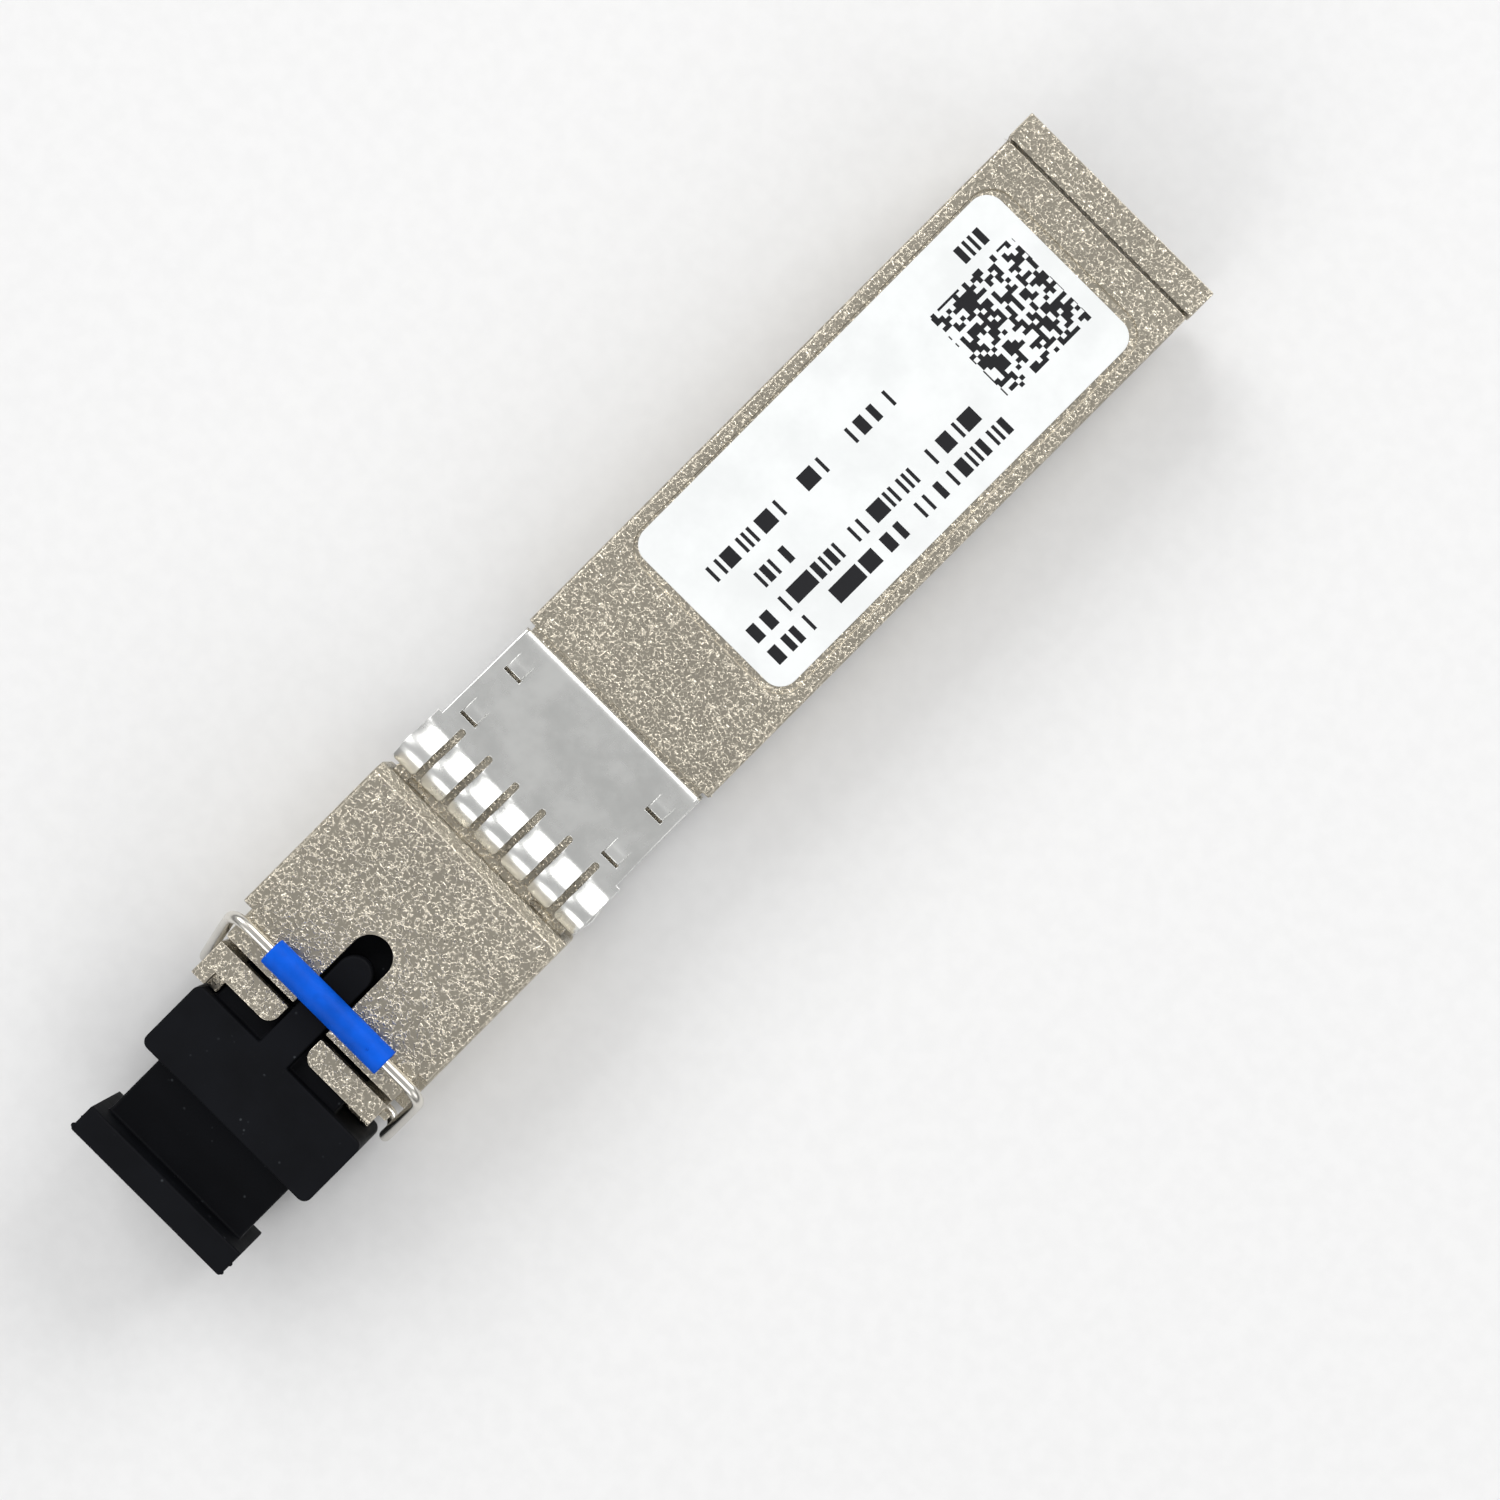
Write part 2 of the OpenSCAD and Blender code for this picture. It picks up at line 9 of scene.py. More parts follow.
import bmesh
import bpy
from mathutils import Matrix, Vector


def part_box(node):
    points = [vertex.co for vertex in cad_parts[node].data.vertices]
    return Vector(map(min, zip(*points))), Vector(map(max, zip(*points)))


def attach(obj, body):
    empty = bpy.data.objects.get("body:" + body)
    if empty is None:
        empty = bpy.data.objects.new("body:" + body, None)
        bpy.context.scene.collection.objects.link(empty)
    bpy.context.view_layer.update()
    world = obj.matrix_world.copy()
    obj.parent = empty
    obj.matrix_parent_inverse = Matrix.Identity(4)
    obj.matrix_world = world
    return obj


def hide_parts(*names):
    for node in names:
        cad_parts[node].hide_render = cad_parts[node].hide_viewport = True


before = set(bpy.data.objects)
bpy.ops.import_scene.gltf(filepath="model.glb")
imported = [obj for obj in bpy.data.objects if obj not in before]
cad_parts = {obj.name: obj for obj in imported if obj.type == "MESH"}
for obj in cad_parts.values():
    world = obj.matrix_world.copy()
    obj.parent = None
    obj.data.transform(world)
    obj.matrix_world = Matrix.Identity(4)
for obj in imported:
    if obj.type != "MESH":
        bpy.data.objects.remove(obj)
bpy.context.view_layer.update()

MM = 0.001
MERGE = 0.002 * MM
NEAR = 0.01 * MM
NOISE_SPAN = (0.3, 0.7)
Point = tuple[float, float, float]
Link = bpy.types.NodeSocket | float
log = logging.getLogger("module")


class Axis(Enum):
    """The direction that a round primitive is turned to."""

    X = (0.0, math.pi / 2, 0.0)
    Z = (0.0, 0.0, 0.0)


# ---------------------------------------------------------------- modelling by hand


def deselect() -> None:
    """Leave edit mode and clear the selection."""
    if bpy.context.object and bpy.context.object.mode != "OBJECT":
        bpy.ops.object.mode_set(mode="OBJECT")
    bpy.ops.object.select_all(action="DESELECT")


def activate(piece: bpy.types.Object) -> None:
    """Select one piece alone and make it the active one."""
    deselect()
    piece.select_set(True)
    bpy.context.view_layer.objects.active = piece


def settle(piece: bpy.types.Object, name: str) -> bpy.types.Object:
    """Name a piece and move its place, turn and scale into its mesh.

    Args:
        piece: The piece to work on.
        name: Its new name.

    Returns:
        The same piece.
    """
    activate(piece)
    bpy.ops.object.transform_apply(location=True, rotation=True, scale=True)
    piece.name = name
    piece.data.name = name
    return piece


def add_rod(name: str, centre: Sequence[float], radius: float, length: float, axis: Axis,
            sides: int = 48) -> bpy.types.Object:
    """Add a round rod.

    Args:
        name: Name of the new piece.
        centre: Middle of the rod, in metres.
        radius: Radius of the rod.
        length: Length along its axis.
        axis: Direction of its axis.
        sides: Number of flat sides.

    Returns:
        The rod, with its place in its mesh.
    """
    deselect()
    bpy.ops.mesh.primitive_cylinder_add(vertices=sides, radius=radius, depth=length, location=centre,
                                        rotation=axis.value)
    return settle(bpy.context.object, name)


def pick_faces(piece: bpy.types.Object, wanted: Callable[[bmesh.types.BMFace], bool]) -> None:
    """Enter edit mode and select the faces that a test accepts.

    Args:
        piece: The piece to edit.
        wanted: Test of one face.
    """
    activate(piece)
    bpy.ops.object.mode_set(mode="EDIT")
    bpy.ops.mesh.select_mode(type="FACE")
    bpy.ops.mesh.select_all(action="DESELECT")
    cage = bmesh.from_edit_mesh(piece.data)
    for face in cage.faces:
        face.select_set(wanted(face))
    bmesh.update_edit_mesh(piece.data)


def pick_edges(piece: bpy.types.Object, wanted: Callable[[Vector, Vector], bool]) -> int:
    """Enter edit mode and select the edges whose two ends pass a test.

    Args:
        piece: The piece to edit.
        wanted: Test of an edge's two end points, in metres.

    Returns:
        How many edges are selected.
    """
    activate(piece)
    bpy.ops.object.mode_set(mode="EDIT")
    bpy.ops.mesh.select_mode(type="EDGE")
    bpy.ops.mesh.select_all(action="DESELECT")
    cage = bmesh.from_edit_mesh(piece.data)
    for edge in cage.edges:
        edge.select_set(wanted(edge.verts[0].co, edge.verts[1].co))
    bmesh.update_edit_mesh(piece.data)
    return sum(edge.select for edge in cage.edges)


def leave_edit() -> None:
    """Go back to object mode."""
    bpy.ops.object.mode_set(mode="OBJECT")


def round_edges(piece: bpy.types.Object, width: float, segments: int = 2, angle: float = 32.0) -> None:
    """Round a piece's sharp edges with an applied Bevel modifier.

    Args:
        piece: The piece to finish.
        width: Width of the rounding, in metres.
        segments: Steps across it.
        angle: Edges sharper than this many degrees are rounded.
    """
    activate(piece)
    bevel = piece.modifiers.new("rounding", "BEVEL")
    bevel.width = width
    bevel.segments = segments
    bevel.limit_method = "ANGLE"
    bevel.angle_limit = math.radians(angle)
    bevel.use_clamp_overlap = False
    bpy.ops.object.modifier_apply(modifier=bevel.name)


def smooth(piece: bpy.types.Object, angle: float = 40.0) -> None:
    """Shade a piece smooth up to an angle between faces, and keep its broad faces flat.

    Args:
        piece: The piece to work on.
        angle: Edges sharper than this many degrees stay sharp.
    """
    activate(piece)
    bpy.ops.object.shade_smooth_by_angle(angle=math.radians(angle))
    weights = piece.modifiers.new("flat_faces", "WEIGHTED_NORMAL")
    weights.mode = "FACE_AREA"
    weights.weight = 50
    weights.keep_sharp = True
    bpy.ops.object.modifier_apply(modifier=weights.name)


def cad_copy(node: str, name: str) -> bpy.types.Object:
    """Copy a CAD node, merge its loose triangles and join those that lie in one plane.

    Args:
        node: Name of the CAD node.
        name: Name of the copy.

    Returns:
        The copy, ready to be shaped.
    """
    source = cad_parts[node]
    activate(source)
    bpy.ops.object.duplicate()
    piece = bpy.context.object
    piece.parent = None
    piece.data.materials.clear()
    piece.name = name
    piece.data.name = name
    if piece.data.has_custom_normals:
        bpy.ops.mesh.customdata_custom_splitnormals_clear()
    bpy.ops.object.mode_set(mode="EDIT")
    bpy.ops.mesh.select_all(action="SELECT")
    bpy.ops.mesh.remove_doubles(threshold=MERGE)
    bpy.ops.mesh.dissolve_limited(angle_limit=math.radians(0.4))
    bpy.ops.object.mode_set(mode="OBJECT")
    return piece


def place(piece: bpy.types.Object, body: str, material: bpy.types.Material,
          replaced: Sequence[str] = ()) -> None:
    """Dress a piece and tie it to its body.

    Args:
        piece: The finished piece.
        body: The CAD body that it moves with.
        material: Its material.
        replaced: CAD nodes that it stands for.
    """
    piece.data.materials.clear()
    piece.data.materials.append(material)
    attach(piece, body)
    if replaced:
        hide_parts(*replaced)
    log.info("%s rides on %s, %d faces", piece.name, body, len(piece.data.polygons))


# ---------------------------------------------------------------- shader groups


class Graph:
    """A node tree with short calls for the nodes that the finishes use."""

    def __init__(self, tree: bpy.types.NodeTree) -> None:
        """Keep the tree that nodes are added to."""
        self.tree = tree

    def add(self, kind: str, **settings: object) -> bpy.types.Node:
        """Add a node and set its properties.

        Args:
            kind: The node's type.
            **settings: Properties to set on it.

        Returns:
            The new node.
        """
        node = self.tree.nodes.new(kind)
        for key, value in settings.items():
            setattr(node, key, value)
        return node

    def wire(self, source: Link | Sequence[float], target: bpy.types.NodeSocket) -> None:
        """Link a socket to an input, or set the input to a constant.

        Args:
            source: A socket or a constant.
            target: The input that takes it.
        """
        if isinstance(source, bpy.types.NodeSocket):
            self.tree.links.new(source, target)
        else:
            target.default_value = source

    def math(self, operation: str, *values: Link) -> bpy.types.NodeSocket:
        """Add a Math node and return its result.

        Args:
            operation: The node's operation.
            *values: Its inputs in order.

        Returns:
            Its result.
        """
        node = self.add("ShaderNodeMath", operation=operation)
        for value, target in zip(values, node.inputs):
            self.wire(value, target)
        return node.outputs[0]

    def place(self, scale: Sequence[float] = (1, 1, 1)) -> bpy.types.NodeSocket:
        """Return the piece's Object coordinates, scaled.

        Args:
            scale: Factor along each axis.

        Returns:
            The scaled coordinates.
        """
        coords = self.add("ShaderNodeTexCoord")
        mapping = self.add("ShaderNodeMapping")
        mapping.inputs["Scale"].default_value = scale
        self.wire(coords.outputs["Object"], mapping.inputs["Vector"])
        return mapping.outputs["Vector"]

    def noise(self, vector: Link, scale: Link, detail: float = 2.0, roughness: float = 0.5
              ) -> bpy.types.NodeSocket:
        """Add a Noise texture and return its value.

        Args:
            vector: Where it is read.
            scale: Its scale.
            detail: Its detail.
            roughness: Its roughness.

        Returns:
            Its value.
        """
        node = self.add("ShaderNodeTexNoise")
        self.wire(vector, node.inputs["Vector"])
        self.wire(scale, node.inputs["Scale"])
        self.wire(detail, node.inputs["Detail"])
        self.wire(roughness, node.inputs["Roughness"])
        return node.outputs["Fac"]

    def remap(self, value: Link, low: float, high: float, to_low: Link = 0.0, to_high: Link = 1.0
              ) -> bpy.types.NodeSocket:
        """Map a value smoothly and clamped from one range to another.

        Args:
            value: The value to map.
            low: Start of its range.
            high: End of its range.
            to_low: Result at the start.
            to_high: Result at the end.

        Returns:
            The mapped value.
        """
        node = self.add("ShaderNodeMapRange", interpolation_type="SMOOTHSTEP")
        for source, target in zip((value, low, high, to_low, to_high), node.inputs):
            self.wire(source, target)
        return node.outputs[0]

    def blend(self, factor: Link, first: Link | Sequence[float], second: Link | Sequence[float]
              ) -> bpy.types.NodeSocket:
        """Mix two colours by a factor.

        Args:
            factor: 0 for the first colour and 1 for the second.
            first: The first colour.
            second: The second colour.

        Returns:
            The mixed colour.
        """
        node = self.add("ShaderNodeMix", data_type="RGBA")
        self.wire(factor, node.inputs[0])
        self.wire(first, node.inputs[6])
        self.wire(second, node.inputs[7])
        return node.outputs[2]

    def vary(self, value: Link, to_low: float, to_high: float) -> bpy.types.NodeSocket:
        """Map a noise value, most of which lies in NOISE_SPAN, to another range."""
        return self.remap(value, *NOISE_SPAN, to_low, to_high)

    def inside(self, value: Link, low: float, high: float) -> bpy.types.NodeSocket:
        """Return 1 where a value lies between two limits.

        Args:
            value: The value to test.
            low: The lower limit.
            high: The upper limit.

        Returns:
            1 inside and 0 elsewhere.
        """
        above = self.math("GREATER_THAN", value, low)
        below = self.math("LESS_THAN", value, high)
        return self.math("MULTIPLY", above, below)


def new_group(name: str, inputs: dict[str, float], outputs: Sequence[str]) -> tuple[Graph, dict, dict]:
    """Start a shader node group with named value sockets.

    Args:
        name: Name of the group.
        inputs: Names and defaults of its inputs.
        outputs: Names of its outputs.

    Returns:
        Its graph, its inputs as sockets to read and its outputs as sockets to fill.
    """
    tree = bpy.data.node_groups.new(name, "ShaderNodeTree")
    for key, value in inputs.items():
        tree.interface.new_socket(key, in_out="INPUT", socket_type="NodeSocketFloat").default_value = value
    for key in outputs:
        tree.interface.new_socket(key, in_out="OUTPUT", socket_type="NodeSocketFloat")
    graph = Graph(tree)
    inner = graph.add("NodeGroupInput")
    outer = graph.add("NodeGroupOutput")
    return graph, {key: inner.outputs[key] for key in inputs}, {key: outer.inputs[key] for key in outputs}


def cast_grain_group() -> bpy.types.NodeTree:
    """Fine worm-like peel of a plated casting: its height, and its bright flecks, which the casting also
    uses as a painted highlight on the peel's crests.

    Returns:
        The node group.
    """
    graph, given, out = new_group("cast_grain", {"Scale": 3400.0, "Softness": 0.5}, ("Height", "FleckAndHighlight"))
    wander_scale = 0.8
    wander_reach = 0.3 * MM
    crest_width = (0.02, 0.16)
    unbroken = (0.36, 0.54)
    base = graph.place()
    wander = graph.add("ShaderNodeTexNoise")
    graph.wire(base, wander.inputs["Vector"])
    graph.wire(graph.math("MULTIPLY", given["Scale"], wander_scale), wander.inputs["Scale"])
    moved = graph.add("ShaderNodeVectorMath", operation="MULTIPLY_ADD")
    graph.wire(wander.outputs["Color"], moved.inputs[0])
    moved.inputs[1].default_value = (wander_reach, wander_reach, wander_reach)
    graph.wire(base, moved.inputs[2])
    cells = graph.add("ShaderNodeTexVoronoi", feature="DISTANCE_TO_EDGE")
    graph.wire(moved.outputs[0], cells.inputs["Vector"])
    graph.wire(given["Scale"], cells.inputs["Scale"])
    crest = graph.remap(cells.outputs["Distance"], *crest_width, 1.0, 0.0)
    broken = graph.remap(graph.noise(base, given["Scale"], detail=0.0), *unbroken)
    stroke = graph.math("MULTIPLY", crest, broken)
    broad = graph.noise(base, given["Scale"], detail=2.0)
    graph.wire(graph.math("ADD", stroke, graph.math("MULTIPLY", broad, given["Softness"])), out["Height"])
    # The fleck mask, which the casting uses both as grain and as a painted highlight on the crests.
    graph.wire(stroke, out["FleckAndHighlight"])
    return graph.tree


def smudge_group() -> bpy.types.NodeTree:
    """Broad handling marks and fine scuffs, as two values round 0.5.

    Returns:
        The node group.
    """
    graph, given, out = new_group("smudges", {"Scale": 260.0}, ("Broad", "Fine"))
    scuff_scale = 14.0
    base = graph.place()
    graph.wire(graph.noise(base, given["Scale"], detail=4.0, roughness=0.6), out["Broad"])
    scuffs = graph.noise(base, graph.math("MULTIPLY", given["Scale"], scuff_scale), detail=3.0)
    graph.wire(scuffs, out["Fine"])
    return graph.tree


def dust_group() -> bpy.types.NodeTree:
    """Sparse dust specks and lint, as a mask.

    Returns:
        The node group.
    """
    graph, given, out = new_group("dust", {"Scale": 1600.0, "Amount": 0.5}, ("Mask",))
    speck_width = (0.05, 0.16)
    patch_scale = 900.0
    patch_edge = (0.56, 0.66)
    base = graph.place()
    cells = graph.add("ShaderNodeTexVoronoi", feature="F1")
    graph.wire(base, cells.inputs["Vector"])
    graph.wire(given["Scale"], cells.inputs["Scale"])
    dot = graph.remap(cells.outputs["Distance"], *speck_width, 1.0, 0.0)
    chosen = graph.remap(graph.noise(base, patch_scale, detail=2.0), *patch_edge)
    graph.wire(graph.math("MULTIPLY", graph.math("MULTIPLY", dot, chosen), given["Amount"]), out["Mask"])
    return graph.tree


def sheet_grain_group() -> bpy.types.NodeTree:
    """Rolling lines and hairline scratches of sheet and wire, along one direction.

    Returns:
        The node group.
    """
    graph, given, out = new_group("sheet_grain", {"Scale": 1000.0}, ("Height", "Streak"))
    stretch = 0.06
    line_scale = 6.0
    scratch_scale = 2.0
    scratch_edge = (0.66, 0.7)
    stretched = graph.place((1.0, stretch, 1.0))
    lines = graph.noise(stretched, graph.math("MULTIPLY", given["Scale"], line_scale), detail=3.0)
    streaks = graph.noise(stretched, graph.math("MULTIPLY", given["Scale"], scratch_scale), detail=1.0)
    scratch = graph.remap(streaks, *scratch_edge)
    graph.wire(graph.math("ADD", lines, scratch), out["Height"])
    graph.wire(lines, out["Streak"])
    return graph.tree


class Effect(Enum):
    """The shared surface effects, by the name of their node group."""

    CAST = "cast_grain"
    SMUDGE = "smudges"
    DUST = "dust"
    SHEET = "sheet_grain"


def build_effects() -> None:
    """Build each shared node group once."""
    for maker in (cast_grain_group, smudge_group, dust_group, sheet_grain_group):
        maker()


# ---------------------------------------------------------------- finishes


@dataclass(frozen=True)
class Finish:
    """A material with one Principled shader; each kind adds its own texture."""

    name: str
    colour: Point
    roughness: float = 0.4
    metallic: float = 0.0
    bump: float = 0.0
    specular: float = 0.5
    depth: float = 0.02 * MM
    smudge: float = 420.0

    def shader(self) -> tuple[bpy.types.Material, Graph, bpy.types.Node]:
        """Start the material and return it with its graph and shader node.

        Returns:
            The material, its graph and its shader node.
        """
        material = bpy.data.materials.new(self.name)
        material.use_nodes = True
        graph = Graph(material.node_tree)
        node = material.node_tree.nodes["Principled BSDF"]
        node.inputs["Metallic"].default_value = self.metallic
        node.inputs["Specular IOR Level"].default_value = self.specular
        return material, graph, node

    def effect(self, graph: Graph, kind: Effect, **values: float) -> bpy.types.Node:
        """Place a shared effect group with this finish's values.

        Args:
            graph: The material's graph.
            kind: The effect.
            **values: Values of its inputs.

        Returns:
            The group's node.
        """
        node = graph.add("ShaderNodeGroup", node_tree=bpy.data.node_groups[kind.value])
        for key, value in values.items():
            node.inputs[key].default_value = value
        return node

    def raise_surface(self, graph: Graph, shader: bpy.types.Node, height: Link) -> None:
        """Feed a height through a Bump node to the shader's normal.

        Args:
            graph: The material's graph.
            shader: The shader node.
            height: The height to feed.
        """
        bump = graph.add("ShaderNodeBump")
        bump.inputs["Strength"].default_value = self.bump
        bump.inputs["Distance"].default_value = self.depth
        graph.wire(height, bump.inputs["Height"])
        graph.wire(bump.outputs["Normal"], shader.inputs["Normal"])

    def build(self) -> bpy.types.Material:
        """Build a plain finish with handling marks in its colour and gloss.

        Returns:
            The material.
        """
        material, graph, shader = self.shader()
        marks = self.effect(graph, Effect.SMUDGE, Scale=self.smudge)
        tone = graph.vary(marks.outputs["Broad"], 0.93, 1.05)
        graph.wire(scaled(graph, self.colour, tone), shader.inputs["Base Color"])
        rough = graph.vary(marks.outputs["Broad"], self.roughness * 0.92, self.roughness * 1.1)
        graph.wire(rough, shader.inputs["Roughness"])
        self.raise_surface(graph, shader, marks.outputs["Fine"])
        return material


def scaled(graph: Graph, colour: Point, tone: Link) -> bpy.types.NodeSocket:
    """Return a colour multiplied by a varying tone.

    Args:
        graph: The material's graph.
        colour: The colour.
        tone: Its varying factor.

    Returns:
        The multiplied colour.
    """
    node = graph.add("ShaderNodeVectorMath", operation="SCALE")
    node.inputs[0].default_value = colour
    graph.wire(tone, node.inputs["Scale"])
    return node.outputs[0]


@dataclass(frozen=True)
class CastMetal(Finish):
    """Plated die casting with a worm-like peel, its crests lightened in colour: partly grain, partly painted
    highlight.
    """

    metallic: float = 1.0
    grain: float = 3000.0
    # How much the colour is lightened on the peel's crests: partly grain fleck, partly painted highlight.
    fleck_and_highlight: float = 0.35
    softness: float = 0.5
    depth: float = 0.03 * MM
    smudge: float = 180.0

    def build(self) -> bpy.types.Material:
        """Build the casting: peel in the bump, flecks in colour and gloss; the flecks in colour are partly a
        painted highlight on the peel's crests.

        Returns:
            The material.
        """
        material, graph, shader = self.shader()
        peel = self.effect(graph, Effect.CAST, Scale=self.grain, Softness=self.softness)
        marks = self.effect(graph, Effect.SMUDGE, Scale=self.smudge)
        tone = graph.vary(marks.outputs["Broad"], 0.93, 1.05)
        # Painted highlight: the colour is lightened along the peel's crests, standing in for their lit
        # sides, on top of the grain's own flecks.
        tone_and_highlight = graph.math("ADD", tone, graph.math("MULTIPLY", peel.outputs["FleckAndHighlight"], self.fleck_and_highlight))
        graph.wire(scaled(graph, self.colour, tone_and_highlight), shader.inputs["Base Color"])
        gloss = graph.remap(peel.outputs["FleckAndHighlight"], 0.0, 1.0, self.roughness, self.roughness * 0.6)
        graph.wire(gloss, shader.inputs["Roughness"])
        self.raise_surface(graph, shader, peel.outputs["Height"])
        return material


@dataclass(frozen=True)
class SheetMetal(Finish):
    """Rolled sheet or drawn wire with fine lines."""

    metallic: float = 1.0
    lines: float = 1000.0
    depth: float = 0.008 * MM
    smudge: float = 320.0

    def build(self) -> bpy.types.Material:
        """Build the sheet: lines in bump and gloss, marks in tone.

        Returns:
            The material.
        """
        material, graph, shader = self.shader()
        grain = self.effect(graph, Effect.SHEET, Scale=self.lines)
        marks = self.effect(graph, Effect.SMUDGE, Scale=self.smudge)
        tone = graph.vary(marks.outputs["Broad"], 0.92, 1.06)
        graph.wire(scaled(graph, self.colour, tone), shader.inputs["Base Color"])
        rough = graph.vary(grain.outputs["Streak"], self.roughness * 0.8, self.roughness * 1.25)
        graph.wire(rough, shader.inputs["Roughness"])
        self.raise_surface(graph, shader, grain.outputs["Height"])
        return material


@dataclass(frozen=True)
class DustyPolymer(Finish):
    """Moulded rubber or plastic with dust on it."""

    dust: float = 0.5
    dust_colour: Point = (0.5, 0.5, 0.5)
    smudge: float = 300.0

    def build(self) -> bpy.types.Material:
        """Build the polymer: moulded texture in bump, dust in colour.

        Returns:
            The material.
        """
        material, graph, shader = self.shader()
        marks = self.effect(graph, Effect.SMUDGE, Scale=self.smudge)
        specks = self.effect(graph, Effect.DUST, Amount=self.dust)
        tone = graph.vary(marks.outputs["Broad"], 0.8, 1.25)
        base = scaled(graph, self.colour, tone)
        dusty = graph.blend(specks.outputs["Mask"], base, (*self.dust_colour, 1.0))
        graph.wire(dusty, shader.inputs["Base Color"])
        rough = graph.vary(marks.outputs["Broad"], self.roughness * 0.9, self.roughness * 1.12)
        graph.wire(rough, shader.inputs["Roughness"])
        height = graph.math("ADD", marks.outputs["Fine"], specks.outputs["Mask"])
        self.raise_surface(graph, shader, height)
        return material


@dataclass(frozen=True)
class PrintedFilm(Finish):
    """White film printed with a generic checker mark and rows of plain bars."""

    ink: Point = (0.01, 0.01, 0.012)
    checker: tuple[float, float, float, float] = (-3.0, 3.1, 25.4, 31.5)
    rows: tuple[tuple[float, float, float, float], ...] = (
        (-1.5, 0.5, 6.8, 21.0), (0.5, 0.5, 6.8, 11.8), (2.3, 0.5, 6.8, 24.0), (3.9, 0.5, 6.8, 24.4),
        (-4.1, 0.5, 25.4, 30.8))
    cell: float = 0.26
    bar: float = 0.2
    bar_share: float = 0.52
    group: float = 1.6
    group_share: float = 0.9
    cell_share: float = 0.5
    depth: float = 0.01 * MM
    smudge: float = 300.0

    def cells(self, graph: Graph, across: Link, along: Link, size: float, share: float
              ) -> bpy.types.NodeSocket:
        """Fill a grid of square cells at random.

        Args:
            graph: The material's graph.
            across: Place across the film, in millimetres.
            along: Place along the film, in millimetres.
            size: Width of a cell.
            share: The share of the cells that is filled.

        Returns:
            1 in a filled cell and 0 elsewhere.
        """
        grid = graph.add("ShaderNodeCombineXYZ")
        graph.wire(graph.math("FLOOR", graph.math("DIVIDE", across, size)), grid.inputs["X"])
        graph.wire(graph.math("FLOOR", graph.math("DIVIDE", along, size)), grid.inputs["Y"])
        draw = graph.add("ShaderNodeTexWhiteNoise", noise_dimensions="2D")
        graph.wire(grid.outputs[0], draw.inputs["Vector"])
        return graph.math("LESS_THAN", draw.outputs["Value"], share)

    def bars(self, graph: Graph, middle: float, along: Link) -> bpy.types.NodeSocket:
        """Print a row of plain bars, each as tall as the row, in groups with gaps between them.

        Args:
            graph: The material's graph.
            middle: Middle of the row across the film, in millimetres.
            along: Place along the film, in millimetres.

        Returns:
            1 where the row is inked and 0 elsewhere.
        """
        struck = self.cells(graph, middle, along, self.bar, self.bar_share)
        grouped = self.cells(graph, middle, along, self.group, self.group_share)
        return graph.math("MULTIPLY", struck, grouped)

    def build(self) -> bpy.types.Material:
        """Build the film: ink where a mark is, faint marks elsewhere.

        Returns:
            The material.
        """
        material, graph, shader = self.shader()
        split = graph.add("ShaderNodeSeparateXYZ")
        graph.wire(graph.place((1 / MM, 1 / MM, 1 / MM)), split.inputs[0])
        across, along = split.outputs["X"], split.outputs["Y"]
        low_x, high_x, low_y, high_y = self.checker
        square = graph.math("MULTIPLY", graph.inside(across, low_x, high_x),
                            graph.inside(along, low_y, high_y))
        inked = graph.math("MULTIPLY", square, self.cells(graph, across, along, self.cell, self.cell_share))
        for middle, half, start, end in self.rows:
            off_middle = graph.math("ABSOLUTE", graph.math("SUBTRACT", across, middle))
            band = graph.math("LESS_THAN", off_middle, half)
            run = graph.math("MULTIPLY", band, graph.inside(along, start, end))
            printed = graph.math("MULTIPLY", run, self.bars(graph, middle, along))
            inked = graph.math("MAXIMUM", inked, printed)
        marks = self.effect(graph, Effect.SMUDGE, Scale=self.smudge)
        film = scaled(graph, self.colour, graph.vary(marks.outputs["Broad"], 0.95, 1.03))
        graph.wire(graph.blend(inked, film, (*self.ink, 1.0)), shader.inputs["Base Color"])
        graph.wire(graph.vary(marks.outputs["Fine"], self.roughness, self.roughness * 1.3),
                   shader.inputs["Roughness"])
        self.raise_surface(graph, shader, marks.outputs["Broad"])
        return material


